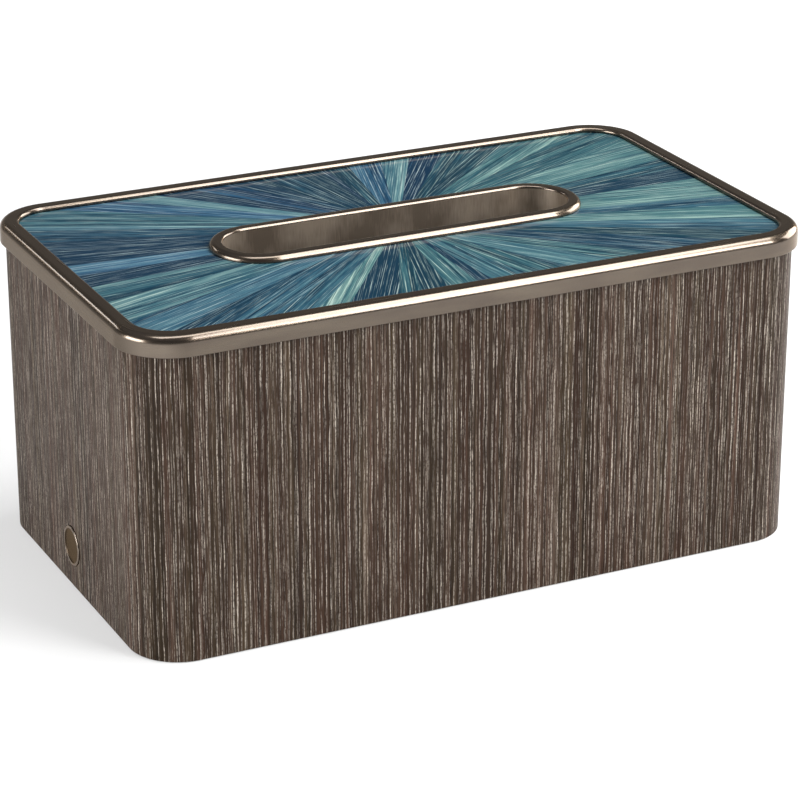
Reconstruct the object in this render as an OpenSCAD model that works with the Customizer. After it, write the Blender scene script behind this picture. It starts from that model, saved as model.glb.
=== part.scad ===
// Rectangular tissue box: a veneered wooden box with rounded upright corners, and a
// lift-off lid with a metal frame, a straw marquetry sunburst and a metal slot collar.
// Millimetres. +Z is up, the table is at Z = 0, and the origin is under the middle.
// The long front faces -Y, and the short end that carries the badge faces -X.

/* [Wooden box] */
// Length of the box over its veneer
box_len = 262; // [220:1:320]
// Width of the box over its veneer
box_wid = 150; // [130:1:200]
// Height of the top edge of the box above the table
box_top = 113.2; // [90:0.1:150]
// Radius of the upright corners over the veneer
corner_r = 19; // [15:0.5:30]
// Thickness of the wall panels and corner posts under the veneer
core_t = 9; // [7:0.5:10]
// Thickness of the wood veneer round the outside
veneer_t = 0.8; // [0.5:0.1:1.5]
// Thickness of the microfibre lining on the walls and the floor
lining_t = 0.8; // [0.5:0.1:1.5]
// Height of the solid wood lipping on the top edge of the walls
lipping_t = 3; // [2:0.5:6]
// Chamfer on the inner top edge of the lipping
lipping_chamfer = 0.6; // [0.3:0.1:1.2]
// Gap under the edge of the walls, which stand clear of the table on the felt
foot_gap = 0.3; // [0.1:0.1:0.8]

/* [Corner joints] */
// Thickness of the loose splines that join the panels to the posts
spline_t = 2.4; // [1.5:0.1:3]
// Width of a spline, half of it in the panel and half in the post
spline_w = 8; // [6:0.5:10]
// Distance of the splines from the top and bottom of the core
spline_inset = 8; // [5:1:20]

/* [Base] */
// Thickness of the base board
base_t = 9; // [6:0.5:12]
// Depth of the rebate in the foot of the walls that takes the base board
rebate_w = 6.5; // [5:0.25:7]
// Thickness of the felt under the base board
felt_t = 1.5; // [1:0.25:3]
// Distance of the felt's edge from the edge of the base board
felt_inset = 1; // [0.5:0.5:4]
// Shank diameter of the base screws
base_screw_d = 2.6; // [2:0.1:3]
// Head diameter of the base screws
base_screw_head_d = 5; // [4:0.1:5.6]
// Length of the base screws
base_screw_len = 20; // [16:1:30]
// Base screws along each long wall
base_screws_long = 3; // [2:1:5]
// Spacing of the base screws along the long walls
base_screw_pitch = 82; // [50:1:90]
// Distance of the end walls' base screws from the middle
base_screw_end_y = 34; // [20:1:40]

/* [Badge] */
// Diameter of the plain badge disc
badge_d = 15; // [10:0.5:18]
// Height of the badge's centre above the table
badge_z = 16.5; // [14:0.5:40]
// Thickness of the badge disc at its face
badge_t = 1.6; // [1.2:0.1:2.5]
// How far the badge's rim stands out of the veneer
badge_proud = 0.5; // [0.2:0.1:1]
// Width of the raised rim round the badge
badge_rim_w = 0.9; // [0.5:0.1:2]
// Depth of the badge's face below its rim
badge_dish = 0.35; // [0.2:0.05:0.6]
// Gap round the badge in its recess
badge_gap = 0.25; // [0.15:0.05:0.5]
// Diameter of the peg behind the badge
badge_peg_d = 4; // [3:0.5:6]
// Length of the peg behind the badge
badge_peg_len = 4.5; // [3:0.5:6]

/* [Lid frame] */
// How far the frame stands out past the box all round
overhang = 2; // [1:0.25:4]
// Width of the frame's top flange
flange_w = 7.2; // [5:0.1:12]
// Thickness of the frame's top flange, which is the panel's recess
flange_t = 2; // [1.5:0.1:3]
// Thickness of the frame's upright band
band_t = 2.6; // [2:0.1:3.5]
// Radius of the frame's outer top edge
frame_edge_r = 3; // [0.8:0.1:3.5]
// Radius of the inner top edge of the frame's flange
frame_inner_r = 1.3; // [0.4:0.1:1.4]
// Radius of the frame's small edges
frame_small_r = 0.4; // [0.2:0.1:0.8]

/* [Lid boards] */
// Thickness of the board that carries the marquetry
board_t = 5; // [3.5:0.1:8]
// Thickness of the board that drops into the box and keeps the lid in place
locating_t = 6; // [5:0.5:12]
// Gap round the locating board inside the box
locating_gap = 0.6; // [0.4:0.1:1.5]
// Chamfer on the lower edge of the locating board
locating_chamfer = 1.2; // [0.5:0.1:2.5]
// Thickness of the felt seat pads between lid and box
pad_t = 0.5; // [0.3:0.1:1.5]
// Diameter of the seat pads
pad_d = 6; // [4:0.5:7]
// Seat pads along each long side
pads_long = 3; // [2:1:5]
// Spacing of the seat pads along the long sides
pad_pitch = 90; // [50:1:95]
// Distance of the seat pads on the short sides from the middle
pad_end_y = 38; // [20:1:42]
// Shank diameter of the screws that hold the locating board
board_screw_d = 2.6; // [2:0.1:3.5]
// Head diameter of the screws that hold the locating board
board_screw_head_d = 5; // [4:0.1:7]
// How far the locating board's screws reach into the board above
board_screw_bite = 3.2; // [2:0.1:3.4]
// Distance of the locating board's screws from its edge
board_screw_inset = 12; // [8:0.5:20]
// Locating board screws along each long side
board_screws_long = 4; // [2:1:6]

/* [Marquetry] */
// Thickness of the straw marquetry
straw_t = 0.8; // [0.5:0.1:1.2]
// Straw rays round the sunburst
ray_count = 100; // [60:20:140]
// Unevenness of the rays' widths, as a share of a ray
ray_sway = 0.3; // [0:0.05:0.4]

/* [Slot collar] */
// Length of the slot's opening
slot_len = 137; // [100:1:160]
// Width of the slot's opening
slot_wid = 28; // [20:0.5:40]
// Width of the collar's flange, from the opening to its outer edge
collar_w = 5.1; // [4:0.1:7]
// Height of the collar's flange above the marquetry
collar_h = 2.5; // [2.3:0.1:3.5]
// Thickness of the collar's tube wall
tube_t = 1.2; // [0.8:0.1:2]
// Radius of the collar's outer top edge
collar_edge_r = 2.2; // [0.6:0.1:2.3]
// Radius of the collar's inner top edge
collar_lip_r = 1; // [0.4:0.1:1.4]
// How far the tube stands out below its retaining ring
tube_proud = 0.6; // [0.3:0.1:2]
// Gap between the collar's tube and the boards
tube_gap = 0.3; // [0.15:0.05:0.8]
// Width of the retaining ring under the lid
ring_w = 9; // [7:0.5:14]
// Thickness of the retaining ring
ring_t = 1.5; // [1:0.1:2.5]
// Gap between the retaining ring and the tube
ring_gap = 0.1; // [0.05:0.05:0.3]
// Shank diameter of the retaining ring's screws
ring_screw_d = 2.2; // [1.6:0.1:2.6]
// Head diameter of the retaining ring's screws
ring_screw_head_d = 4; // [3:0.1:4.8]
// Height of the retaining ring's screw heads
ring_screw_head_h = 1.1; // [0.8:0.1:1.6]
// Length of the retaining ring's screws under their heads
ring_screw_len = 9; // [7:0.5:10]
// Spacing of the retaining ring's screws along the slot
ring_screw_pitch = 50; // [40:1:56]

/* [Fits] */
// Glue line between laminated pieces
glue = 0.05; // [0.02:0.01:0.1]
// Gap round the base board in its rebate
base_gap = 0.2; // [0.1:0.05:0.5]
// Gap round a spline in its groove
spline_gap = 0.1; // [0.05:0.05:0.2]
// Gap round a screw in its hole
screw_gap = 0.05; // [0.02:0.01:0.1]
// Gap between the marquetry, its board and the frame's band
panel_gap = 0.15; // [0.1:0.05:0.5]
// Width of the driver cross in a screw head
cross_w = 0.7; // [0.5:0.1:0.9]
// Depth of the driver cross in a screw head
cross_depth = 0.7; // [0.4:0.1:0.8]

/* [Hidden] */
$fn = 96;
cut = 1;

// Insets from the veneer's face to each layer of the wall
core_out = veneer_t + glue;
core_in = core_out + core_t;
lining_out = core_in + glue;
cavity = lining_out + lining_t;

// Heights of the box
base_z = felt_t;
base_top = base_z + base_t;
floor_z = base_top + lining_t;
core_top = box_top - lipping_t;

// Heights of the lid, which rests on its pads
lid_z = box_top + pad_t;
straw_z = lid_z + board_t;
straw_top = straw_z + straw_t;
frame_h = board_t + straw_t + flange_t;
lid_top = lid_z + frame_h;
locating_z = lid_z - locating_t;
lid_lining_z = locating_z - lining_t;
ring_z = lid_lining_z - ring_t;
tube_z = ring_z - tube_proud;

// Distance of the core's middle plane from the veneer's face
core_mid = core_out + core_t / 2;
base_screw_line = core_in - rebate_w / 2;
core_hx = box_len / 2 - corner_r;
core_hy = box_wid / 2 - corner_r;

// The sunburst's order of tones, in which no tone meets itself
tones = [0, 2, 1, 3, 1, 0, 2, 0, 1, 3, 0, 1, 2, 1, 3, 0, 2, 3, 1, 2];
ray_reach = box_len + box_wid;

veneer_c = "#5e5046";
core_c = "#b59468";
lipping_c = "#4d3f36";
lining_c = "#3b342f";
felt_c = "#2b2a2a";
steel_c = "#a9a9ab";
bronze_c = "#7d7062";
deep_c = "#1f4763";
teal_c = "#2f6f86";
sea_c = "#5d9c9a";
pale_c = "#a9c8b4";

// ---- Outlines ----

// A rectangle with true round corners, centred
module rounded(len, wid, r) {
  square([len - 2 * r, wid], center = true);
  square([len, wid - 2 * r], center = true);
  for (sx = [-1, 1], sy = [-1, 1])
    translate([sx * (len / 2 - r), sy * (wid / 2 - r)])
      circle(r);
}

// The box's outline drawn in by a distance
module box_outline(inset) {
  rounded(box_len - 2 * inset, box_wid - 2 * inset, corner_r - inset);
}

// A ring between two insets of the box's outline
module box_ring(outer, inner) {
  difference() {
    box_outline(outer);
    box_outline(inner);
  }
}

// The slot's outline drawn out by a distance
module slot_outline(grow) {
  square([slot_len - slot_wid, slot_wid + 2 * grow], center = true);
  for (sx = [-1, 1])
    translate([sx * (slot_len - slot_wid) / 2, 0])
      circle(slot_wid / 2 + grow);
}

// Sweeps a profile round a rounded rectangle. The profile's X = 0 lies on the outline
// and its inside is at negative X.
module sweep_round(len, wid, r) {
  hx = len / 2 - r;
  hy = wid / 2 - r;
  for (s = [0, 1])
    rotate(180 * s) {
      translate([hx, -hy, 0])
        rotate([90, 0, 180])
          mirror([1, 0, 0])
            linear_extrude(2 * hy)
              translate([r, 0])
                children();
      translate([hx, hy, 0])
        rotate_extrude(angle = 90)
          translate([r, 0])
            children();
      translate([-hx, hy, 0])
        rotate([90, 0, 90])
          linear_extrude(2 * hx)
            translate([r, 0])
              children();
      translate([-hx, hy, 0])
        rotate(90)
          rotate_extrude(angle = 90)
            translate([r, 0])
              children();
    }
}

// Takes a round bite out of a corner at the origin whose solid lies at -X, -Y
module round_off(r) {
  translate([-r, -r])
    difference() {
      square(r + cut);
      circle(r);
    }
}

// ---- Fasteners ----

// A countersunk wood screw, head down at Z = 0, with a driver cross
module wood_screw(d, head_d, len) {
  difference() {
    union() {
      cylinder(h = (head_d - d) / 2, d1 = head_d, d2 = d);
      cylinder(h = len, d = d);
    }
    for (a = [0, 90])
      rotate(a)
        translate([-head_d * 0.3, -cross_w / 2, -cut])
          cube([head_d * 0.6, cross_w, cut + cross_depth]);
  }
}

// The hole for a countersunk wood screw
module screw_hole(d, head_d, len) {
  translate([0, 0, -cut])
    cylinder(h = cut + len, d = d + 2 * screw_gap);
  cylinder(h = (head_d - d) / 2 + screw_gap, d1 = head_d + 2 * screw_gap, d2 = d);
}

// Places of the base screws
module at_base_screws() {
  for (i = [0 : base_screws_long - 1], s = [-1, 1])
    translate([(i - (base_screws_long - 1) / 2) * base_screw_pitch,
               s * (box_wid / 2 - base_screw_line), base_z])
      children();
  for (sx = [-1, 1], sy = [-1, 1])
    translate([sx * (box_len / 2 - base_screw_line), sy * base_screw_end_y, base_z])
      children();
}

// Places of the locating board's screws
module at_board_screws() {
  hx = box_len / 2 - cavity - locating_gap - board_screw_inset;
  hy = box_wid / 2 - cavity - locating_gap - board_screw_inset;
  for (i = [0 : board_screws_long - 1], s = [-1, 1])
    translate([(2 * i / (board_screws_long - 1) - 1) * hx, s * hy, locating_z])
      children();
}

// Places of the retaining ring's screws, at its underside
module at_ring_screws() {
  line = slot_wid / 2 + tube_t + ring_gap + ring_w / 2;
  for (i = [-1, 0, 1], s = [-1, 1])
    translate([i * ring_screw_pitch, s * line, ring_z])
      children();
}

// Places of the seat pads, over the lipping
module at_seat_pads() {
  for (i = [0 : pads_long - 1], s = [-1, 1])
    translate([(i - (pads_long - 1) / 2) * pad_pitch, s * (box_wid / 2 - core_mid), box_top])
      children();
  for (sx = [-1, 1], sy = [-1, 1])
    translate([sx * (box_len / 2 - core_mid), sy * pad_end_y, box_top])
      children();
}

// ---- Box ----

// The loose splines, half in each panel and half in each post
module splines(gap) {
  for (sx = [-1, 1], sy = [-1, 1]) {
    translate([sx * core_hx, sy * (box_wid / 2 - core_mid), 0])
      spline(gap);
    translate([sx * (box_len / 2 - core_mid), sy * core_hy, 0])
      rotate(90)
        spline(gap);
  }
}

module spline(gap) {
  z = base_top + spline_inset - gap;
  top = core_top - spline_inset + gap;
  translate([-spline_w / 2 - gap, -spline_t / 2 - gap, z])
    cube([spline_w + 2 * gap, spline_t + 2 * gap, top - z]);
}

// The ring of the core, rebated for the base board and bored for its screws
module core_ring() {
  difference() {
    translate([0, 0, foot_gap])
      linear_extrude(core_top - foot_gap)
        box_ring(core_out, core_in);
    translate([0, 0, foot_gap - cut])
      linear_extrude(base_top - foot_gap + cut)
        box_outline(core_in - rebate_w);
    splines(spline_gap);
    at_base_screws()
      screw_hole(base_screw_d, base_screw_head_d, base_screw_len);
    badge_recess();
  }
}

// One straight stretch of the core, between two corner posts
module core_stretch(sx, sy) {
  len = sx == 0 ? 2 * core_hx : box_len;
  wid = sy == 0 ? 2 * core_hy : box_wid;
  intersection() {
    core_ring();
    translate([sx == 0 ? -len / 2 : min(sx * len, 0), sy == 0 ? -wid / 2 : min(sy * wid, 0), 0])
      cube([len, wid, box_top]);
  }
}

module front_panel() {
  color(core_c)
    core_stretch(0, -1);
}

module back_panel() {
  color(core_c)
    core_stretch(0, 1);
}

module left_panel() {
  color(core_c)
    core_stretch(-1, 0);
}

module right_panel() {
  color(core_c)
    core_stretch(1, 0);
}

module corner_posts() {
  color(core_c)
    intersection() {
      core_ring();
      for (sx = [-1, 1], sy = [-1, 1])
        translate([sx > 0 ? core_hx : -box_len / 2, sy > 0 ? core_hy : -box_wid / 2, 0])
          cube([corner_r, corner_r, box_top]);
    }
}

module corner_splines() {
  color(core_c)
    splines(0);
}

module outer_veneer() {
  color(veneer_c)
    difference() {
      translate([0, 0, foot_gap])
        linear_extrude(box_top - foot_gap)
          box_ring(0, veneer_t);
      badge_recess();
    }
}

module top_lipping() {
  color(lipping_c)
    difference() {
      translate([0, 0, core_top])
        linear_extrude(lipping_t)
          box_ring(core_out, cavity);
      translate([0, 0, box_top - lipping_chamfer])
        sweep_round(box_len - 2 * cavity, box_wid - 2 * cavity, corner_r - cavity)
          polygon([[-lipping_chamfer, 0], [0, 0], [lipping_chamfer + cut, lipping_chamfer + cut],
                   [-lipping_chamfer, lipping_chamfer + cut]]);
    }
}

module wall_lining() {
  color(lining_c)
    translate([0, 0, floor_z])
      linear_extrude(core_top - floor_z)
        box_ring(lining_out, cavity);
}

module base_board() {
  color(core_c)
    difference() {
      translate([0, 0, base_z])
        linear_extrude(base_t)
          box_outline(core_in - rebate_w + base_gap);
      at_base_screws()
        screw_hole(base_screw_d, base_screw_head_d, base_screw_len);
    }
}

module base_screws() {
  color(steel_c)
    at_base_screws()
      wood_screw(base_screw_d, base_screw_head_d, base_screw_len);
}

module floor_lining() {
  color(lining_c)
    translate([0, 0, base_top])
      linear_extrude(lining_t)
        box_outline(lining_out);
}

module base_felt() {
  color(felt_c)
    linear_extrude(felt_t)
      box_outline(core_in - rebate_w + base_gap + felt_inset);
}

// ---- Badge ----

// Turns what is drawn along +Z so that it points out of the left end
module on_left_end() {
  translate([-box_len / 2, 0, badge_z])
    rotate([0, -90, 0])
      children();
}

module badge_recess() {
  on_left_end() {
    translate([0, 0, badge_proud - badge_t])
      cylinder(h = badge_t + cut, d = badge_d + 2 * badge_gap);
    translate([0, 0, badge_proud - badge_t - badge_peg_len - badge_gap])
      cylinder(h = badge_peg_len + badge_gap + cut, d = badge_peg_d + 2 * screw_gap);
  }
}

module badge_disc() {
  face_r = badge_d / 2 - badge_rim_w;
  color(bronze_c)
    on_left_end()
      translate([0, 0, badge_proud])
        rotate_extrude()
          difference() {
            union() {
              translate([0, -badge_t])
                square([badge_d / 2, badge_t]);
              translate([0, -badge_t - badge_peg_len])
                square([badge_peg_d / 2, badge_peg_len + badge_t]);
            }
            translate([0, -badge_dish])
              square([face_r - badge_dish, badge_dish + cut]);
            translate([face_r - badge_dish, 0])
              circle(badge_dish);
            translate([badge_d / 2, 0])
              round_off(badge_rim_w / 3);
          }
}

// ---- Lid ----

// The lid's outline drawn in by a distance
module lid_outline(inset) {
  rounded(box_len + 2 * overhang - 2 * inset, box_wid + 2 * overhang - 2 * inset,
          corner_r + overhang - inset);
}

// Section of the frame: a flange over the panel's edge and a band round it
module frame_profile() {
  difference() {
    union() {
      translate([-flange_w, frame_h - flange_t])
        square([flange_w, flange_t]);
      translate([-band_t, 0])
        square([band_t, frame_h]);
    }
    translate([0, frame_h])
      round_off(frame_edge_r);
    translate([-flange_w, frame_h])
      mirror([1, 0])
        round_off(frame_inner_r);
    mirror([0, 1])
      round_off(frame_small_r);
  }
}

module lid_frame() {
  color(bronze_c)
    translate([0, 0, lid_z])
      sweep_round(box_len + 2 * overhang, box_wid + 2 * overhang, corner_r + overhang)
        frame_profile();
}

module panel_board() {
  color(core_c)
    difference() {
      translate([0, 0, lid_z])
        linear_extrude(board_t)
          difference() {
            lid_outline(band_t + panel_gap);
            slot_outline(tube_t + tube_gap);
          }
      at_board_screws()
        screw_hole(board_screw_d, board_screw_head_d, locating_t + board_screw_bite);
      at_ring_screws()
        ring_screw_hole();
    }
}

// The angle of a ray's first edge
function ray_edge(i) = 360 * (i + ray_sway * sin(i * 137.5)) / ray_count;

// The rays of one tone, laid side by side between the slot and the frame
module rays(tone) {
  translate([0, 0, straw_z])
    linear_extrude(straw_t)
      intersection() {
        difference() {
          lid_outline(band_t + panel_gap);
          slot_outline(tube_t + tube_gap);
        }
        for (i = [0 : ray_count - 1])
          if (tones[i % len(tones)] == tone)
            polygon([[0, 0], ray_reach * [cos(ray_edge(i)), sin(ray_edge(i))],
                     ray_reach * [cos(ray_end(i)), sin(ray_end(i))]]);
      }
}

// The angle of a ray's last edge, which is the first edge of the next
function ray_end(i) = i == ray_count - 1 ? 360 + ray_edge(0) : ray_edge(i + 1);

module rays_deep() {
  color(deep_c)
    rays(0);
}

module rays_teal() {
  color(teal_c)
    rays(1);
}

module rays_sea() {
  color(sea_c)
    rays(2);
}

module rays_pale() {
  color(pale_c)
    rays(3);
}

module locating_board() {
  inset = cavity + locating_gap;
  color(core_c)
    difference() {
      translate([0, 0, locating_z])
        linear_extrude(locating_t)
          difference() {
            box_outline(inset);
            slot_outline(tube_t + tube_gap);
          }
      translate([0, 0, locating_z])
        sweep_round(box_len - 2 * inset, box_wid - 2 * inset, corner_r - inset)
          polygon([[-locating_chamfer - cut, -cut], [cut, -cut], [cut, locating_chamfer + cut]]);
      at_board_screws()
        screw_hole(board_screw_d, board_screw_head_d, locating_t + board_screw_bite);
      at_ring_screws()
        ring_screw_hole();
    }
}

module board_screws() {
  color(steel_c)
    at_board_screws()
      wood_screw(board_screw_d, board_screw_head_d, locating_t + board_screw_bite);
}

module lid_lining() {
  color(lining_c)
    difference() {
      translate([0, 0, lid_lining_z])
        linear_extrude(lining_t)
          difference() {
            box_outline(cavity + locating_gap + locating_chamfer);
            slot_outline(tube_t + tube_gap);
          }
      at_ring_screws()
        ring_screw_hole();
    }
}

// Section of the collar: a flange on the marquetry and a tube down through the lid
module collar_profile() {
  flange_z = straw_top - tube_z;
  top = flange_z + collar_h;
  difference() {
    union() {
      translate([-collar_w, flange_z])
        square([collar_w, collar_h]);
      translate([-collar_w, 0])
        square([tube_t, top]);
    }
    translate([0, top])
      round_off(collar_edge_r);
    translate([-collar_w, top])
      mirror([1, 0])
        round_off(collar_lip_r);
  }
}

module slot_collar() {
  color(bronze_c)
    translate([0, 0, tube_z])
      slot_sweep(collar_w)
        collar_profile();
}

// Sweeps a profile round the slot's outline drawn out by a distance
module slot_sweep(grow) {
  hx = (slot_len - slot_wid) / 2;
  for (s = [0, 1])
    rotate(180 * s) {
      translate([-hx, 0, 0])
        rotate([90, 0, 90])
          linear_extrude(2 * hx)
            translate([slot_wid / 2 + grow, 0])
              children();
      translate([hx, 0, 0])
        rotate(-90)
          rotate_extrude(angle = 180)
            translate([slot_wid / 2 + grow, 0])
              children();
    }
}

module collar_ring() {
  color(bronze_c)
    difference() {
      translate([0, 0, ring_z])
        linear_extrude(ring_t)
          difference() {
            slot_outline(tube_t + ring_gap + ring_w);
            slot_outline(tube_t + ring_gap);
          }
      at_ring_screws()
        ring_screw_hole();
    }
}

// A round-head screw, head down below Z = 0, with a driver cross
module ring_screws() {
  color(steel_c)
    at_ring_screws()
      difference() {
        union() {
          translate([0, 0, -ring_screw_head_h])
            cylinder(h = ring_screw_head_h, d1 = ring_screw_head_d * 0.8, d2 = ring_screw_head_d);
          cylinder(h = ring_screw_len, d = ring_screw_d);
        }
        for (a = [0, 90])
          rotate(a)
            translate([-ring_screw_head_d * 0.3, -cross_w / 2, -ring_screw_head_h - cut])
              cube([ring_screw_head_d * 0.6, cross_w, cut + cross_depth]);
      }
}

module ring_screw_hole() {
  translate([0, 0, -cut])
    cylinder(h = cut + ring_screw_len, d = ring_screw_d + 2 * screw_gap);
}

module seat_pads() {
  color(felt_c)
    at_seat_pads()
      cylinder(h = pad_t, d = pad_d);
}

front_panel();
back_panel();
left_panel();
right_panel();
corner_posts();
corner_splines();
outer_veneer();
top_lipping();
wall_lining();
base_board();
base_screws();
floor_lining();
base_felt();
badge_disc();
lid_frame();
panel_board();
rays_deep();
rays_teal();
rays_sea();
rays_pale();
locating_board();
board_screws();
lid_lining();
slot_collar();
collar_ring();
ring_screws();
seat_pads();
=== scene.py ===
"""Finishes and fine shapes of a veneered tissue box with a framed straw marquetry lid.

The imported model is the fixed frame. The classes below stand for the object's own
sub-assemblies: the veneered box, its linings, the badge, the lid's metal frame, the
straw sunburst, the slot collar and the lid's underside. Lengths are in metres, and
the sizes of patterns in millimetres.
"""

from __future__ import annotations

import logging
import math
import random
from dataclasses import dataclass
from enum import Enum
from functools import partial
from typing import Any, Callable, NamedTuple, Sequence

import bmesh
import bpy
from bmesh.types import BMEdge, BMesh, BMVert
from bpy.types import Material, NodeSocket, NodeTree, Object
from mathutils import Matrix, Vector


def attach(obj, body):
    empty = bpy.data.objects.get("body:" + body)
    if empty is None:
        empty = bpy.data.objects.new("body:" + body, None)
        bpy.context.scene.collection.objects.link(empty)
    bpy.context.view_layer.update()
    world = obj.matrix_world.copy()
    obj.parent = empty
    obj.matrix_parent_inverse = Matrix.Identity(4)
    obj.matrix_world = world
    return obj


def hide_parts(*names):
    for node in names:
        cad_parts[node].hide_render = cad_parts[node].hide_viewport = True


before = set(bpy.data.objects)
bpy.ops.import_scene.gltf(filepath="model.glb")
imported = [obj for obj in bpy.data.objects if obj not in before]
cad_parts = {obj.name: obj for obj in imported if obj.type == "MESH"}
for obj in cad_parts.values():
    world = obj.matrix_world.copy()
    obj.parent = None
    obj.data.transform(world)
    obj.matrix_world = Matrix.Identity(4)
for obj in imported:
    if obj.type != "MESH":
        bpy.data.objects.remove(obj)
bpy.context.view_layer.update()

LOG = logging.getLogger("tissue_box")
MM = 0.001
MERGE = 1e-6
PLATE_FACETS = 12
FULL_ROUND = 0.9999
QUARTER = math.pi / 2
COLOUR_MIX = {"data_type": "RGBA", "out": 2}
NodeMaker = Callable[..., Any]
Point = tuple[float, float, float]
Pair = tuple[float, float]
Setting = tuple[str, float]
Sockets = dict[str, Any]


class Body(Enum):
    """The two bodies that the joint moves apart."""

    BOX = "box"
    LID = "lid"


class Dye(Enum):
    """The four dye baths of the straw, from the deepest to the palest."""

    DEEP = ("rays_deep", "straw_deep", 0.12)
    TEAL = ("rays_teal", "straw_teal", 0.36)
    SEA = ("rays_sea", "straw_sea", 0.6)
    PALE = ("rays_pale", "straw_pale", 0.88)

    def __init__(self, node: str, slot: str, level: float) -> None:
        """Keeps the dye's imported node, its material slot, and its paleness from 0 to 1."""
        self.node, self.slot, self.level = node, slot, level


class Grain(Enum):
    """The coordinates that a finish reads."""

    OBJECT = "the body's own"
    UPRIGHT = "round the piece, and up"
    ROUND = "up, and round the piece"


# --- Colour and nodes ---


def linear(hex_colour: str) -> tuple[float, float, float, float]:
    """Turns an sRGB hex colour into a linear RGBA one.

    Args:
        hex_colour: A colour such as "#5e5046".

    Returns:
        Linear red, green and blue, and an alpha of 1.
    """
    parts = [int(hex_colour[i : i + 2], 16) / 255 for i in (1, 3, 5)]
    flat = [c / 12.92 if c <= 0.04045 else ((c + 0.055) / 1.055) ** 2.4 for c in parts]
    return (flat[0], flat[1], flat[2], 1.0)


def add_node(
    tree: NodeTree,
    kind: str,
    *values: Any,
    out: int | str = 0,
    sockets: dict[Any, Any] | None = None,
    ramp: Sequence[tuple[float, Any]] = (),
    **settings: Any,
) -> Any:
    """Adds a node with its settings, values and links.

    Args:
        tree: The node tree that gets the node.
        kind: The node's type without "ShaderNode", and its operation after a full stop.
        *values: Values of its first sockets, or the outputs that feed them.
        out: Name or index of the output to hand back.
        sockets: The same for other sockets, by name or index.
        ramp: Stops of a colour ramp, as place and sRGB hex or grey value.
        **settings: Attributes of the node.

    Returns:
        The output, or nothing where the node has none.
    """
    kind, _, operation = kind.partition(".")
    node = tree.nodes.new(f"ShaderNode{kind}")
    if operation:
        node.operation = operation
    for name, value in settings.items():
        setattr(node, name, value)
    for key, value in [*enumerate(values), *(sockets or {}).items()]:
        if isinstance(value, NodeSocket):
            tree.links.new(value, node.inputs[key])
        else:
            node.inputs[key].default_value = value
    for i, (place, tone) in enumerate(ramp):
        stops = node.color_ramp.elements
        stop = stops[i] if i < 2 else stops.new(place)
        stop.position = place
        stop.color = linear(tone) if isinstance(tone, str) else (tone, tone, tone, 1.0)
    return node.outputs[out] if node.outputs else None


def streaks(
    node: NodeMaker,
    place: NodeSocket,
    across_mm: float,
    along_mm: float,
    detail: float = 2.0,
    shift: float = 0.0,
    rough: float = 0.5,
) -> NodeSocket:
    """Adds a noise drawn out along the second coordinate.

    Args:
        node: Adds a node to the tree.
        place: The coordinates that it reads, in metres.
        across_mm: Size of a streak across the grain.
        along_mm: Size of a streak along the grain.
        detail: Octaves of finer noise.
        shift: Offset that keeps one layer apart from another.
        rough: Strength of the finer octaves.

    Returns:
        The noise's value, from 0 to 1.
    """
    corner = (shift, shift * 0.37, shift * 0.11)
    scale = (1000 / across_mm, 1000 / along_mm, 1000 / across_mm)
    mapped = node("Mapping", place, corner, (0, 0, 0), scale)
    shape = {"Vector": mapped, "Scale": 1.0, "Detail": detail, "Roughness": rough}
    return node("TexNoise", sockets=shape, out="Fac")


class Lines(NamedTuple):
    """A set of thin broken lines along a grain, one in each strip of it.

    Attributes:
        pitch_mm: Width of a strip.
        width_mm: Half the width of a line.
        broken_mm: Length of a line's strong and faint stretches.
        seed: Offset that keeps one set apart from another.
        full: Level of the breaking noise at which a line is at its full strength.
    """

    pitch_mm: float
    width_mm: float
    broken_mm: float
    seed: float
    full: float = 0.62

    def draw(self, node: NodeMaker, place: NodeSocket) -> NodeSocket:
        """Draws the lines, each with its own place in its strip and its own breaks.

        Args:
            node: Adds a node to the tree.
            place: The coordinates across and along the grain, in metres.

        Returns:
            The lines' strength, from 0 to 1.
        """
        across = node("SeparateXYZ", place)
        along = across.node.outputs[1]
        strip = node("Math.MULTIPLY_ADD", across, 1000 / self.pitch_mm, self.seed)
        number = node("Math.FLOOR", strip)
        own = {"W": number}
        own = node("TexWhiteNoise", sockets=own, noise_dimensions="1D", out="Value")
        middle = node("Math.MULTIPLY_ADD", own, 0.64, 0.18)
        off = node("Math.SUBTRACT", node("Math.FRACT", strip), middle)
        off = node("Math.MULTIPLY", node("Math.ABSOLUTE", off), self.pitch_mm)
        spot = node(
            "CombineXYZ",
            node("Math.MULTIPLY", number, 3.71),
            node("Math.MULTIPLY", along, 1000 / self.broken_mm),
        )
        shape = {"Vector": spot, "Scale": 1.0, "Detail": 2.0, "Roughness": 0.65}
        stretch = node("TexNoise", sockets=shape, out="Fac")
        strength = node("MapRange", stretch, self.full - 0.26, self.full)
        narrow, swell = self.width_mm * 0.4, self.width_mm * 0.6
        wide = node("Math.MULTIPLY_ADD", strength, swell, narrow)
        line = node("MapRange", node("Math.DIVIDE", off, wide), 1.0, 0.45)
        return node("Math.MULTIPLY", line, strength)


# --- Finishes ---


@dataclass(frozen=True)
class Finish:
    """A finish: one Principled shader, and the pattern that feeds it."""

    name: str

    def pattern(self, node: NodeMaker) -> Sockets:
        """Draws the finish's pattern.

        Args:
            node: Adds a node to the finish's tree.

        Returns:
            The shader's sockets, and what feeds each.
        """
        raise NotImplementedError

    def make(self) -> Material:
        """Builds the material.

        Returns:
            The finished material.
        """
        material = bpy.data.materials.new(self.name)
        material.use_nodes = True
        material.node_tree.nodes.clear()
        node = partial(add_node, material.node_tree)
        node("OutputMaterial", node("BsdfPrincipled", sockets=self.pattern(node)))
        return material


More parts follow.
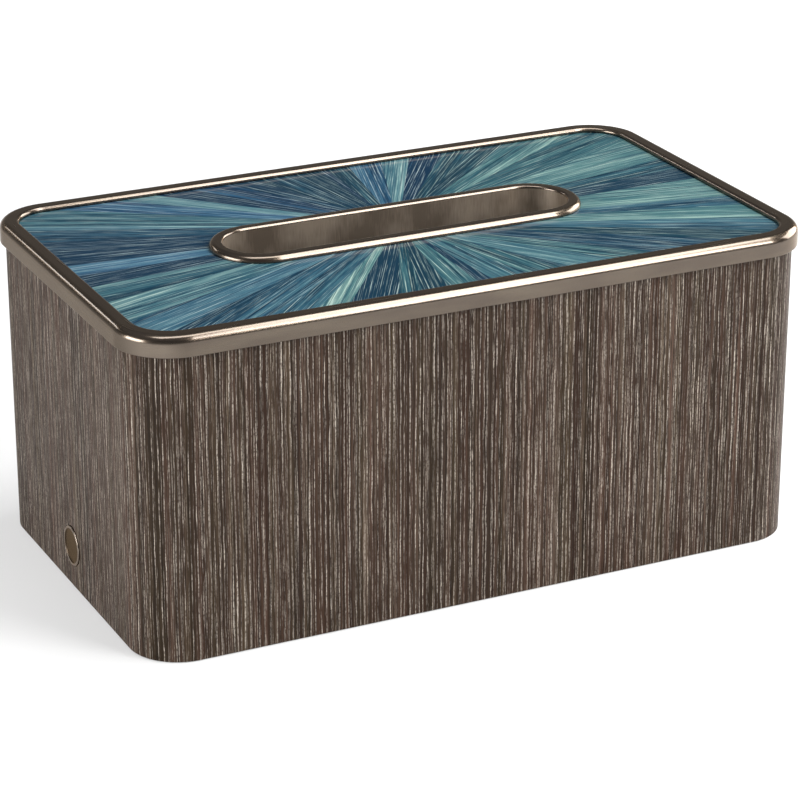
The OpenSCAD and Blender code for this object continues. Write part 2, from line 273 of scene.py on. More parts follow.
class Layer(NamedTuple):
    """A streaked noise, and its shares in a finish.

    Attributes:
        across_mm: Size of a streak across the grain.
        along_mm: Size of a streak along the grain.
        detail: Octaves of finer noise.
        shift: Offset that keeps one layer apart from another.
        fine: Strength of the finer octaves.
        tone: Its share in the tone.
        rough: Its share in the roughness.
        height: Its share in the relief.
    """

    across_mm: float
    along_mm: float
    detail: float
    shift: float
    fine: float = 0.5
    tone: float = 0.0
    rough: float = 0.0
    height: float = 0.0


@dataclass(frozen=True)
class Streaked(Finish):
    """A finish of a few streaked noises.

    Attributes:
        tones: Its deeper and its paler colour.
        stops: Where the sum of the noises has them.
        layers: The noises.
        rough: Roughness without the noises.
        relief: Strength of the relief, and its depth in millimetres.
        grain: The coordinates that it reads.
        others: More sockets of the shader, with their values.
    """

    tones: tuple[str, str]
    stops: Pair
    layers: tuple[Layer, ...]
    rough: float
    relief: Pair = (0, 0)
    grain: Grain = Grain.OBJECT
    others: tuple[Setting, ...] = ()

    def pattern(self, node: NodeMaker) -> Sockets:
        """Adds up the noises.

        Args:
            node: Adds a node to the finish's tree.

        Returns:
            The shader's sockets, and what feeds each.
        """
        if self.grain is Grain.OBJECT:
            place = node("TexCoord", out="Object")
        else:
            place = node("UVMap", uv_map="wrap")
        if self.grain is Grain.ROUND:
            place = node("Mapping", place, (0, 0, 0), (0, 0, QUARTER))
        sums: list[Any] = [0.0, self.rough, 0.0]
        for layer in self.layers:
            noise = streaks(node, place, *layer[:5])
            for i, share in enumerate(layer[5:]):
                if share:
                    sums[i] = node("Math.MULTIPLY_ADD", noise, share, sums[i])
        tone, rough, height = sums
        base = node("ValToRGB", tone, ramp=tuple(zip(self.stops, self.tones)))
        shader = {"Base Color": base, "Roughness": rough, **dict(self.others)}
        strength, depth_mm = self.relief
        if depth_mm:
            relief = {"Height": height, "Strength": strength, "Distance": depth_mm * MM}
            shader["Normal"] = node("Bump", sockets=relief)
        return shader


@dataclass(frozen=True)
class LimedOakVeneer(Finish):
    """Oak veneer with its grain upright, stained umber, brushed open and limed.

    The brushed pores hold pale lime, so the eye gets dark and taupe stripes one to two
    millimetres wide with thin broken pale lines between them, under a satin lacquer.
    It reads the wrap's own coordinates: round the box, and up.
    """

    name: str = "limed_oak_veneer_satin"
    pore: str = "#211913"
    dark: str = "#33271f"
    brown: str = "#4b3c32"
    taupe: str = "#67574c"
    lime: str = "#d2c6b8"
    rosy: str = "#fff0ec"
    greenish: str = "#f6fbec"
    pores: tuple[Lines, ...] = (Lines(1.9, 0.26, 40, 0.37), Lines(1.15, 0.16, 18, 0.71))
    long_lime: Lines = Lines(2.5, 0.24, 32, 0.11, 0.62)
    short_lime: Lines = Lines(1.8, 0.18, 13, 0.23, 0.6)
    faint_lime: Lines = Lines(1.1, 0.12, 9, 0.53, 0.66)

    def pattern(self, node: NodeMaker) -> Sockets:
        """Draws the stripes, pores and limed lines.

        Args:
            node: Adds a node to the finish's tree.

        Returns:
            The shader's sockets, and what feeds each.
        """
        uv = node("UVMap", uv_map="wrap")
        # The grain wanders by a third of a millimetre over two centimetres, and trembles.
        wander = streaks(node, uv, 5, 18, detail=1, shift=3.1)
        tremble = streaks(node, uv, 1.2, 2.6, detail=1, shift=13.1)
        sway = node("Math.MULTIPLY_ADD", wander, 0.9 * MM, -0.45 * MM)
        sway = node("Math.MULTIPLY_ADD", tremble, 0.25 * MM, sway)
        place = node("VectorMath.ADD", uv, node("CombineXYZ", sway))
        broad = streaks(node, place, 12, 400, shift=1.7)
        stripe = streaks(node, place, 1.5, 150, detail=3, shift=5.3, rough=0.62)
        tone = node("Math.ADD", stripe, node("Math.MULTIPLY_ADD", broad, 0.4, -0.2))
        stops = ((0.41, self.dark), (0.6, self.brown), (0.78, self.taupe))
        base = node("ValToRGB", tone, ramp=stops)
        # Some stripes lean to a rosy brown and some to a greenish grey.
        hue = streaks(node, place, 4.5, 300, detail=1, shift=9.9)
        leaning = ((0.36, self.greenish), (0.5, "#ffffff"), (0.64, self.rosy))
        tint = node("ValToRGB", hue, ramp=leaning)
        fibre = streaks(node, place, 0.3, 5, detail=3, shift=41, rough=0.65)
        shade = node("MapRange", fibre, 0, 1, 0.6, 1.4)
        for layer in (tint, shade):
            mixed = {0: 1.0, 6: base, 7: layer}
            base = node("Mix", sockets=mixed, blend_type="MULTIPLY", **COLOUR_MIX)
        # Bare dark pores, then the limed ones: long, thin, beaded and broken.
        pores = node("Math.MAXIMUM", *(lines.draw(node, place) for lines in self.pores))
        mixed = {0: node("Math.MULTIPLY", pores, 0.85), 6: base, 7: linear(self.pore)}
        base = node("Mix", sockets=mixed, **COLOUR_MIX)
        # Long limed lines gather in some strips, and short thin ones in the others.
        gathered = streaks(node, place, 7, 260, shift=23, rough=0.6)
        crowd = node("MapRange", gathered, 0.42, 0.58)
        spare = node("Math.MULTIPLY_ADD", crowd, -0.5, 1.0)
        long_lines = node("Math.MULTIPLY", self.long_lime.draw(node, place), crowd)
        short_lines = node("Math.MULTIPLY", self.short_lime.draw(node, place), spare)
        faint_lines = node("Math.MULTIPLY", self.faint_lime.draw(node, place), 0.6)
        lime = node("Math.MAXIMUM", short_lines, faint_lines)
        lime = node("Math.MAXIMUM", long_lines, lime)
        beads = streaks(node, uv, 0.5, 1.2, shift=71, rough=0.6)
        bead = node("MapRange", beads, 0.36, 0.55, 0.25)
        lime = node("Math.MULTIPLY", node("Math.MULTIPLY", lime, bead), 0.86)
        base = node("Mix", sockets={0: lime, 6: base, 7: linear(self.lime)}, **COLOUR_MIX)
        height = node("Math.MULTIPLY_ADD", lime, 0.5, fibre)
        height = node("Math.MULTIPLY_ADD", pores, -1.0, height)
        height = node("Math.MULTIPLY_ADD", stripe, 0.8, height)
        relief = {"Height": height, "Strength": 0.6, "Distance": 0.14 * MM}
        return {
            "Base Color": base,
            "Roughness": node("MapRange", stripe, 0.3, 0.7, 0.36, 0.46),
            "Normal": node("Bump", sockets=relief),
            "Specular IOR Level": 0.06,
            "Coat Weight": 0.1,
            "Coat Roughness": 0.25,
        }


@dataclass(frozen=True)
class StainedOakEdge(Streaked):
    """Solid oak lipping, stained dark, with its grain along the edge, satin lacquer."""

    name: str = "stained_oak_lipping_satin"
    tones: tuple[str, str] = ("#2d221b", "#5b4a3e")
    stops: Pair = (0.35, 0.65)
    layers: tuple[Layer, ...] = (Layer(0.7, 45, 4, 2.2, 0.6, tone=1, rough=0.12, height=1),)
    rough: float = 0.38
    relief: Pair = (0.35, 0.1)
    grain: Grain = Grain.ROUND
    others: tuple[Setting, ...] = (("IOR", 1.48),)


@dataclass(frozen=True)
class BirchPly(Finish):
    """Sanded birch plywood: pale faces, and edges that show 1.4 mm veneers crossing."""

    name: str = "birch_plywood_sanded"
    pale: str = "#cdb083"
    deep: str = "#8d6a43"
    layer_mm: float = 1.4

    def pattern(self, node: NodeMaker) -> Sockets:
        """Draws the crossing veneers and the dark joints between them.

        Args:
            node: Adds a node to the finish's tree.

        Returns:
            The shader's sockets, and what feeds each.
        """
        place = node("TexCoord", out="Object")
        height = node("SeparateXYZ", place, out=2)
        layer = node("Math.MULTIPLY", height, 1000 / self.layer_mm)
        odd = node("Math.MODULO", node("Math.FLOOR", layer), 2.0)
        turned = node("Mapping", place, (0, 0, 0), (0, 0, QUARTER))
        along = streaks(node, place, 0.6, 24, detail=4, shift=1, rough=0.6)
        across = streaks(node, turned, 0.6, 24, detail=4, shift=7, rough=0.6)
        grain = node("Mix", sockets={0: odd, 2: along, 3: across}, data_type="FLOAT")
        base = node("ValToRGB", grain, ramp=((0.3, self.deep), (0.6, self.pale)))
        joint = node("Math.COMPARE", node("Math.FRACT", layer), 0.0, 0.1)
        mixed = {0: node("Math.MULTIPLY", joint, 0.5), 6: base, 7: linear(self.deep)}
        relief = {"Height": grain, "Strength": 0.3, "Distance": 0.1 * MM}
        return {
            "Base Color": node("Mix", sockets=mixed, **COLOUR_MIX),
            "Roughness": node("MapRange", grain, 0, 1, 0.6, 0.75),
            "Normal": node("Bump", sockets=relief),
        }


@dataclass(frozen=True)
class BronzedNickel(Streaked):
    """Brass, satin brushed along its length, bronzed nickel plated and lacquered.

    A warm gunmetal brown with soft wide highlights, which stays warm at a flat angle
    too. The brush lines are about 0.1 mm apart, drawn here at 0.3 mm so that they show.
    """

    name: str = "bronzed_nickel_satin"
    tones: tuple[str, str] = ("#5f5348", "#706456")
    stops: Pair = (0.35, 0.75)
    layers: tuple[Layer, ...] = (
        Layer(0.3, 22, 3, 2, 0.6, rough=0.1, height=1),
        Layer(6, 30, 3, 8, tone=1, rough=0.08),
    )
    rough: float = 0.16
    relief: Pair = (0.1, 0.05)
    grain: Grain = Grain.ROUND
    others: tuple[Setting, ...] = (("Metallic", 1), ("Coat Roughness", 0.1))
    grazing: str = "#ffe8ce"
    coat: float = 0.85

    def pattern(self, node: NodeMaker) -> Sockets:
        """Adds the lacquer, and the metal's colour at a flat angle, to the brushed metal."""
        lacquer = {"Coat Weight": self.coat, "Specular Tint": linear(self.grazing)}
        return super().pattern(node) | lacquer


@dataclass(frozen=True)
class LightenedTubeLacquer(Streaked):
    """Satin bronze lacquer sprayed down the slot's tube, where the brush can't reach, in a
    tone lighter than the frame's metal: painted light that lifts the shade inside the tube.
    """

    name: str = "bronze_lacquer_lightened_tube"
    # Lighter than the frame's metal: painted light for the tube's shaded inside.
    tones: tuple[str, str] = ("#85786a", "#b8a998")
    stops: Pair = (0.5, 0.8)
    layers: tuple[Layer, ...] = (
        Layer(16, 22, 3, 3, tone=1),
        Layer(0.35, 5, 2, 6, tone=0.3, rough=0.1, height=1),
    )
    rough: float = 0.33
    relief: Pair = (0.15, 0.05)
    grain: Grain = Grain.UPRIGHT
    others: tuple[Setting, ...] = (("Metallic", 0.8),)


@dataclass(frozen=True)
class ZincSteel(Streaked):
    """Zinc-plated steel screws: cool grey with faint cloudy plating."""

    name: str = "zinc_plated_steel"
    tones: tuple[str, str] = ("#8f9296", "#b9bbbe")
    stops: Pair = (0.3, 0.7)
    layers: tuple[Layer, ...] = (Layer(0.8, 0.8, 3, 4, tone=1, rough=0.17),)
    rough: float = 0.25
    others: tuple[Setting, ...] = (("Metallic", 1),)


@dataclass(frozen=True)
class Microfibre(Streaked):
    """Brushed microfibre suede in a warm dark brown, with a short mottled nap."""

    name: str = "microfibre_suede"
    tones: tuple[str, str] = ("#332a24", "#54473d")
    stops: Pair = (0.55, 0.95)
    layers: tuple[Layer, ...] = (
        Layer(9, 9, 3, 1, tone=1),
        Layer(0.35, 0.35, 3, 6, 0.6, tone=0.5, rough=0.1, height=1),
    )
    rough: float = 0.85
    relief: Pair = (0.5, 0.2)
    others: tuple[Setting, ...] = (("Sheen Weight", 0.5), ("Sheen Roughness", 0.4))


@dataclass(frozen=True)
class DyedStraw(Finish):
    """Rye straw, split, flattened, dyed, laid edge to edge and gloss lacquered.

    Each straw is about 2.2 mm wide and keeps its own tone. Its fibres, about 0.4 mm
    apart, run along its length, their shimmer partly painted into the colour as lighter
    and darker fibres and glints, and the clear coat over them is smooth.
    It reads each ray's own coordinates: across the straws, and along them.
    """

    dye: Dye
    straw_mm: float = 2.2
    blue: tuple[str, ...] = ("#03243c", "#1e445f", "#385d73", "#65868f", "#b8c8c9")
    green: tuple[str, ...] = ("#062b38", "#234b55", "#406567", "#6d8b86", "#bac9bc")
    # The glint colours and the shiny lines draw painted highlights in the base colour.
    glint: tuple[str, str] = ("#b0c1c4", "#b2c4b8")
    pooled: Lines = Lines(1.3, 0.17, 30, 0.31, 0.6)
    shiny: Lines = Lines(1.7, 0.2, 26, 0.83, 0.65)
    shiny_thin: Lines = Lines(0.9, 0.13, 14, 0.47, 0.68)

    def pattern(self, node: NodeMaker) -> Sockets:
        """Draws the straws, their fibres and their glints.

        Args:
            node: Adds a node to the finish's tree.

        Returns:
            The shader's sockets, and what feeds each.
        """
        uv = node("UVMap", uv_map="straw")
        # A straw's edge runs a little out of true.
        edge_sway = streaks(node, uv, 5, 45, detail=1, shift=17)
        count = node("Math.MULTIPLY", node("SeparateXYZ", uv), 1000 / self.straw_mm)
        count = node("Math.MULTIPLY_ADD", edge_sway, 0.9, count)
        which = {"W": node("Math.FLOOR", count)}
        which = node("TexWhiteNoise", sockets=which, noise_dimensions="1D", out="Value")
        ray = node("Attribute", attribute_name="ray_tone", out="Fac")
        lot = node("Attribute", attribute_name="dye_lot", out="Fac")
        fibre = streaks(node, uv, 0.4, 35, detail=3, shift=3, rough=0.62)
        stain = streaks(node, uv, 1.6, 30, detail=3, shift=11, rough=0.55)
        # The straws and the noises stray to both sides of the dye's own level.
        tone = node("Math.MULTIPLY_ADD", which, 0.34, self.dye.level - 0.17 - 1.32)
        tone = node("Math.ADD", ray, tone)
        tone = node("Math.MULTIPLY_ADD", stain, 0.8, tone)
        # The fibres' tone: partly the straw's own, partly a painted shimmer.
        tone = node("Math.MULTIPLY_ADD", fibre, 1.1, tone)
        blue, green = (
            node("ValToRGB", tone, ramp=[(i / 4, shade) for i, shade in enumerate(shades)])
            for shades in (self.blue, self.green)
        )
        base = node("Mix", sockets={0: lot, 6: blue, 7: green}, **COLOUR_MIX)
        glints = dict(zip((6, 7), map(linear, self.glint)))
        pale = node("Mix", sockets={0: lot, **glints}, **COLOUR_MIX)
        # Dark threads where the dye pooled, painted glints where a fibre's skin shines (pale
        # lines in the base colour, a painted highlight), and dark edges between the straws.
        deep = linear(self.blue[0])
        thin = node("Math.MULTIPLY", self.shiny_thin.draw(node, uv), 0.7)
        shine = node("Math.MAXIMUM", self.shiny.draw(node, uv), thin)
        edge = node("Math.COMPARE", node("Math.FRACT", count), 0.0, 0.06)
        for mask, most, colour in (
            (self.pooled.draw(node, uv), 0.6, deep),
            (shine, 0.62, pale),
            (edge, 0.5, deep),
        ):
            mixed = {0: node("Math.MULTIPLY", mask, most), 6: base, 7: colour}
            base = node("Mix", sockets=mixed, **COLOUR_MIX)
        relief = {"Height": fibre, "Strength": 0.3, "Distance": 0.1 * MM}
        return {
            "Base Color": base,
            "Roughness": node("Math.MULTIPLY_ADD", fibre, 0.2, 0.35),
            "Normal": node("Bump", sockets=relief),
            "Specular IOR Level": 0.02,
            "Coat Weight": 0.3,
            "Coat Roughness": 0.03,
            "Coat IOR": 1.5,
        }


@dataclass(frozen=True)
class PressedFelt(Finish):
    """Pressed wool felt, charcoal, with matted fibres about 0.2 mm thick."""

    name: str = "pressed_wool_felt"
    dark: str = "#252424"
    light: str = "#4a4846"

    def pattern(self, node: NodeMaker) -> Sockets:
        """Draws the matted fibres, which cross at an angle, and the felt's lumps.

        Args:
            node: Adds a node to the finish's tree.

        Returns:
            The shader's sockets, and what feeds each.
        """
        place = node("TexCoord", out="Object")
        turned = node("Mapping", place, (0, 0, 0), (0, 0, 1.1))
        fibre = streaks(node, place, 0.25, 1.4, detail=4, shift=1, rough=0.7)
        crossed = streaks(node, turned, 0.25, 1.4, detail=4, shift=5, rough=0.7)
        mat = node("Math.MAXIMUM", fibre, crossed)
        base = node("ValToRGB", mat, ramp=((0.4, self.dark), (0.75, self.light)))
        lumps = streaks(node, place, 5, 7, detail=3, shift=13, rough=0.6)
        mixed = {0: 1.0, 6: base, 7: node("MapRange", lumps, 0, 1, 0.5, 1.5)}
        relief = {"Height": mat, "Strength": 0.6, "Distance": 0.2 * MM}
        return {
            "Base Color": node("Mix", sockets=mixed, blend_type="MULTIPLY", **COLOUR_MIX),
            "Roughness": node("Math.MULTIPLY_ADD", mat, 0.08, 0.88),
            "Normal": node("Bump", sockets=relief),
            "Sheen Weight": 0.3,
            "Sheen Roughness": 0.5,
        }


# --- Outlines and mesh making ---


@dataclass(frozen=True)
class Outline:
    """A rectangle with round corners, seen from above and centred."""

    length: float
    width: float
    radius: float

    @property
    def run_x(self) -> float:
        """Half the straight stretch along X."""
        return self.length / 2 - self.radius

    @property
    def run_y(self) -> float:
        """Half the straight stretch along Y."""
        return self.width / 2 - self.radius

    @property
    def girth(self) -> float:
        """Length all the way round."""
        return 4 * (self.run_x + self.run_y) + 2 * math.pi * self.radius

    def inset(self, by: float) -> Outline:
        """Draws the outline in.

        Args:
            by: Distance, or a negative one to grow it.

        Returns:
            The new outline.
        """
        return Outline(self.length - 2 * by, self.width - 2 * by, self.radius - by)

    def outward(self, x: float, y: float) -> float:
        """Signed distance of a point outside the outline's line.

        Args:
            x: The point's X.
            y: The point's Y.

        Returns:
            Distance out, negative inside.
        """
        dx, dy = abs(x) - self.run_x, abs(y) - self.run_y
        if dx > 0 and dy > 0:
            return math.hypot(dx, dy) - self.radius
        return max(dx, dy) - self.radius

    def distance_round(self, x: float, y: float) -> float:
        """Distance from the middle of the back, leftward round the outline, to a point.

        Args:
            x: The point's X.
            y: The point's Y.

        Returns:
            The distance, from 0 to the girth.
        """
        if x > 0:
            # The right half is the left half turned about the middle.
            return self.girth / 2 + self.distance_round(-x, -y)
        a, b, arc = self.run_x, self.run_y, self.radius * QUARTER
        if x < -a and y > b:
            return a + self.radius * math.atan2(-(x + a), y - b)
        if x < -a and y >= -b:
            return a + arc + (b - y)
        if x < -a:
            return a + arc + 2 * b + self.radius * math.atan2(-(y + b), -(x + a))
        return -x if y > b else 2 * (a + arc + b) + x

    def reach(self, angle: float) -> float:
        """Distance from the middle to the outline along an angle.

        Args:
            angle: The angle from +X, in radians.

        Returns:
            The distance.
        """
        c, s = abs(math.cos(angle)), abs(math.sin(angle))
        far = min(self.length / 2 / max(c, MERGE), self.width / 2 / max(s, MERGE))
        if far * c <= self.run_x or far * s <= self.run_y:
            return far
        ahead = c * self.run_x + s * self.run_y
        spare = self.radius**2 - self.run_x**2 - self.run_y**2
        return ahead + math.sqrt(ahead**2 + spare)


class Corner(NamedTuple):
    """A corner of a section: how far out and up it lies, and its rounding."""

    out: float
    up: float
    rounding: float = 0.0


def loop_of(bm: BMesh, points: Sequence[Point]) -> list[BMVert]:
    """Adds a closed wire through a few points.

    Args:
        bm: The mesh.
        points: The wire's corners in order.

    Returns:
        The wire's vertices.
    """
    verts = [bm.verts.new(p) for p in points]
    for a, b in zip(verts, verts[1:] + verts[:1]):
        bm.edges.new((a, b))
    return verts


def soften(
    bm: BMesh, geom: Sequence[Any], radius: float, steps: int, affect: str = "EDGES"
) -> None:
    """Rounds edges, or the corners of a wire or face.

    Args:
        bm: The mesh.
        geom: The edges or corners.
        radius: The rounding's radius.
        steps: Facets in the rounding.
        affect: "EDGES" or "VERTICES".
    """
    shape = {"offset": radius, "offset_type": "OFFSET", "profile": 0.5, "segments": steps}
    bmesh.ops.bevel(bm, geom=geom, affect=affect, material=-1, **shape)


def sweep(
    section: Sequence[Corner], outline: Outline, corner_steps: int = 28, round_steps: int = 7
) -> BMesh:
    """Carries a section all the way round an outline.

    Straight stretches are extruded and corners spun, starting at the middle of the
    back, and the ends are merged.

    Args:
        section: The section's corners, out from the outline and up.
        outline: The outline that it follows.
        corner_steps: Steps in each quarter turn.
        round_steps: Facets in each rounded edge.

    Returns:
        The ring's mesh, with a "wrap" UV map in metres.
    """
    bm = bmesh.new()
    back = outline.width / 2
    verts = loop_of(bm, [(0, back + c.out, c.up) for c in section])
    for vert, corner in zip(verts, section):
        if corner.rounding > 0:
            soften(bm, [vert], corner.rounding, round_steps, "VERTICES")
    edges = list(bm.edges)
    a, b = outline.run_x, outline.run_y
    runs = ((-a, 0), (0, -2 * b), (2 * a, 0), (0, 2 * b), (-a, 0))
    turns = ((-a, b), (-a, -b), (a, -b), (a, b))
    for i, (dx, dy) in enumerate(runs):
        if abs(dx) + abs(dy) > MERGE:
            made = bmesh.ops.extrude_edge_only(bm, edges=edges)["geom"]
            moved = {g for g in made if isinstance(g, BMVert)}
            bmesh.ops.translate(bm, verts=list(moved), vec=(dx, dy, 0))
            made = [g for g in made if isinstance(g, BMEdge)]
            edges = [e for e in made if set(e.verts) <= moved]
        if i < len(turns):
            ends = list({v for e in edges for v in e.verts})
            turn = {"cent": (*turns[i], 0), "axis": (0, 0, 1), "angle": QUARTER}
            spun = bmesh.ops.spin(bm, geom=ends + edges, steps=corner_steps, **turn)
            edges = [g for g in spun["geom_last"] if isinstance(g, BMEdge)]
    bmesh.ops.remove_doubles(bm, verts=bm.verts, dist=MERGE)
    bmesh.ops.recalc_face_normals(bm, faces=bm.faces)
    map_wrap(bm, outline)
    return bm


def map_wrap(bm: BMesh, outline: Outline) -> None:
    """Gives a ring UV coordinates in metres: round the outline, and up its section.

    Args:
        bm: The ring's mesh.
        outline: The outline that it follows.
    """
    layer = bm.loops.layers.uv.new("wrap")
    for face in bm.faces:
        rounds = [outline.distance_round(lp.vert.co.x, lp.vert.co.y) for lp in face.loops]
        far = max(rounds)
        for lp, u in zip(face.loops, rounds):
            if far - u > outline.girth / 2:
                u += outline.girth
            co = lp.vert.co
            lp[layer].uv = (u, co.z - outline.outward(co.x, co.y))


def plate(
    outline: Outline, low: float, high: float, hole: Outline | None = None, edge: float = 0.0
) -> BMesh:
    """Makes a flat plate with round corners, and a round-cornered hole if asked.

    Args:
        outline: The plate's outline.
        low: Height of its underside.
        high: Height of its top.
        hole: The hole's outline.
        edge: Rounding of its long edges.

    Returns:
        The plate's mesh.
    """
    bm = bmesh.new()
    for line in [outline] + ([hole] if hole else []):
        x, y = line.length / 2, line.width / 2
        for vert in loop_of(bm, ((-x, -y, high), (x, -y, high), (x, y, high), (-x, y, high))):
            # A corner rounded in full would meet its neighbour where the end is a half circle.
            soften(bm, [vert], line.radius * FULL_ROUND, PLATE_FACETS, "VERTICES")
    if hole:
        bmesh.ops.bridge_loops(bm, edges=bm.edges)
    else:
        bmesh.ops.contextual_create(bm, geom=bm.edges)
    bmesh.ops.recalc_face_normals(bm, faces=bm.faces)
    if bm.faces[:][0].normal.z < 0:
        bmesh.ops.reverse_faces(bm, faces=bm.faces)
    bmesh.ops.solidify(bm, geom=bm.faces, thickness=high - low)
    bmesh.ops.remove_doubles(bm, verts=bm.verts, dist=MERGE)
    bmesh.ops.recalc_face_normals(bm, faces=bm.faces)
    if edge > 0:
        level = [e for e in bm.edges if abs(e.verts[0].co.z - e.verts[1].co.z) < MERGE]
        rims = [e for e in level if e.is_manifold and e.calc_face_angle(0) > 1]
        soften(bm, rims, edge, 3)
    return bm


def add_object(name: str, data: Any) -> Object:
    """Adds an object of a mesh, lamp or camera to the scene.

    Args:
        name: The object's name.
        data: Its data, or a bmesh, which is freed.

    Returns:
        The new object.
    """
    if isinstance(data, BMesh):
        mesh = bpy.data.meshes.new(name)
        data.to_mesh(mesh)
        data.free()
        data = mesh
    made = bpy.data.objects.new(name, data)
    bpy.context.scene.collection.objects.link(made)
    return made


def fit_piece(
    name: str,
    bm: BMesh,
    finish: Material,
    body: Body,
    node: str,
    faceted: bool = False,
) -> Object:
    """Turns a mesh into a shown piece that rides on its body.

    Args:
        name: The piece's name.
        bm: Its mesh, which is freed.
        finish: Its material.
        body: The body that it rides on.
        node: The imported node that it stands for.
        faceted: Whether its faces are shaded flat, as on the rays.

    Returns:
        The new object.
    """
    piece = add_object(name, bm)
    piece.data.materials.append(finish)
    for face in piece.data.polygons:
        face.use_smooth = not faceted
    if not faceted:
        flat = piece.modifiers.new("flat_faces", "WEIGHTED_NORMAL")
        flat.mode = "FACE_AREA_WITH_ANGLE"
        flat.keep_sharp = True
    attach(piece, body.value)
    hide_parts(node)
    LOG.info("%s: %d faces on %s", name, len(piece.data.polygons), body.value)
    return piece


def dress(finish: Material, *nodes: str) -> None:
    """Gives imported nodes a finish, with their shapes left as they are.

    Args:
        finish: The material that they get.
        *nodes: Names of the nodes.
    """
    for node in nodes:
        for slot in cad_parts[node].material_slots:
            slot.material = finish
        LOG.info("%s: %s", node, finish.name)


# --- Sub-assemblies ---


@dataclass
class Badge:
    """The bare metal disc let into the left end near the foot."""

    end_x: float = -131 * MM
    height: float = 16.5 * MM
    radius: float = 7.5 * MM
    thick: float = 1.6 * MM
    proud: float = 0.5 * MM
    rim: float = 0.9 * MM
    dish: float = 0.35 * MM
    peg_radius: float = 2 * MM
    peg_length: float = 4.5 * MM
    gap: float = 0.25 * MM
    steps: int = 96

    def place(self) -> Matrix:
        """Matrix that stands a disc turned about Z on the left end, facing out."""
        spot = Matrix.Translation((self.end_x, 0, self.height))
        return spot @ Matrix.Rotation(-QUARTER, 4, "Y")

    def cutter(self, depth: float) -> Object:
        """Makes the tool that cuts the badge's recess.

        Args:
            depth: How far it reaches either side of the end's face.

        Returns:
            A helper object, which the caller removes.
        """
        bm = bmesh.new()
        size = {"radius1": self.radius + self.gap, "radius2": self.radius + self.gap}
        size |= {"depth": 2 * depth, "segments": self.steps}
        bmesh.ops.create_cone(bm, cap_ends=True, matrix=self.place(), **size)
        return add_object("recess_tool", bm)

    def build(self, finish: Material, bright: Material) -> None:
        """Turns the disc with its raised rim, shallow dish and peg.

        Args:
            finish: The disc's material.
            bright: The material of the rim: a lighter metal, a painted highlight on the raised
                rim.
        """
        bm = bmesh.new()
        top, face = self.proud, self.radius - self.rim
        back = top - self.thick
        corners = (
            Corner(0.0, top - self.dish),
            Corner(face - self.dish * 1.5, top - self.dish, 0.25 * MM),
            Corner(face, top, 0.08 * MM),
            Corner(self.radius, top, 0.3 * MM),
            Corner(self.radius, back, 0.1 * MM),
            Corner(self.peg_radius, back),
            Corner(self.peg_radius, back - self.peg_length, 0.2 * MM),
            Corner(0.0, back - self.peg_length),
        )
        verts = [bm.verts.new((c.out, 0, c.up)) for c in corners]
        for a, b in zip(verts, verts[1:]):
            bm.edges.new((a, b))
        for vert, corner in zip(verts, corners):
            if corner.rounding:
                soften(bm, [vert], corner.rounding, 4, "VERTICES")
        turn = {"cent": (0, 0, 0), "axis": (0, 0, 1), "angle": 2 * math.pi, "use_merge": True}
        bmesh.ops.spin(bm, geom=bm.verts[:] + bm.edges[:], steps=self.steps, **turn)
        bmesh.ops.remove_doubles(bm, verts=bm.verts, dist=MERGE)
        bmesh.ops.recalc_face_normals(bm, faces=bm.faces)
        bmesh.ops.transform(bm, matrix=self.place(), verts=bm.verts)
        name, slot, node = "badge_plain_disc", "bronzed_metal", "badge_disc"
        disc = fit_piece(name, bm, finish, Body.BOX, node)
        # The raised rim's faces take the lighter metal: a painted highlight.
        disc.data.materials.append(bright)
        for polygon in disc.data.polygons:
            x, y, z = polygon.center
            from_middle = math.hypot(y, z - self.height)
            raised = self.end_x - x > top - self.dish
            polygon.material_index = int(raised and from_middle > face)


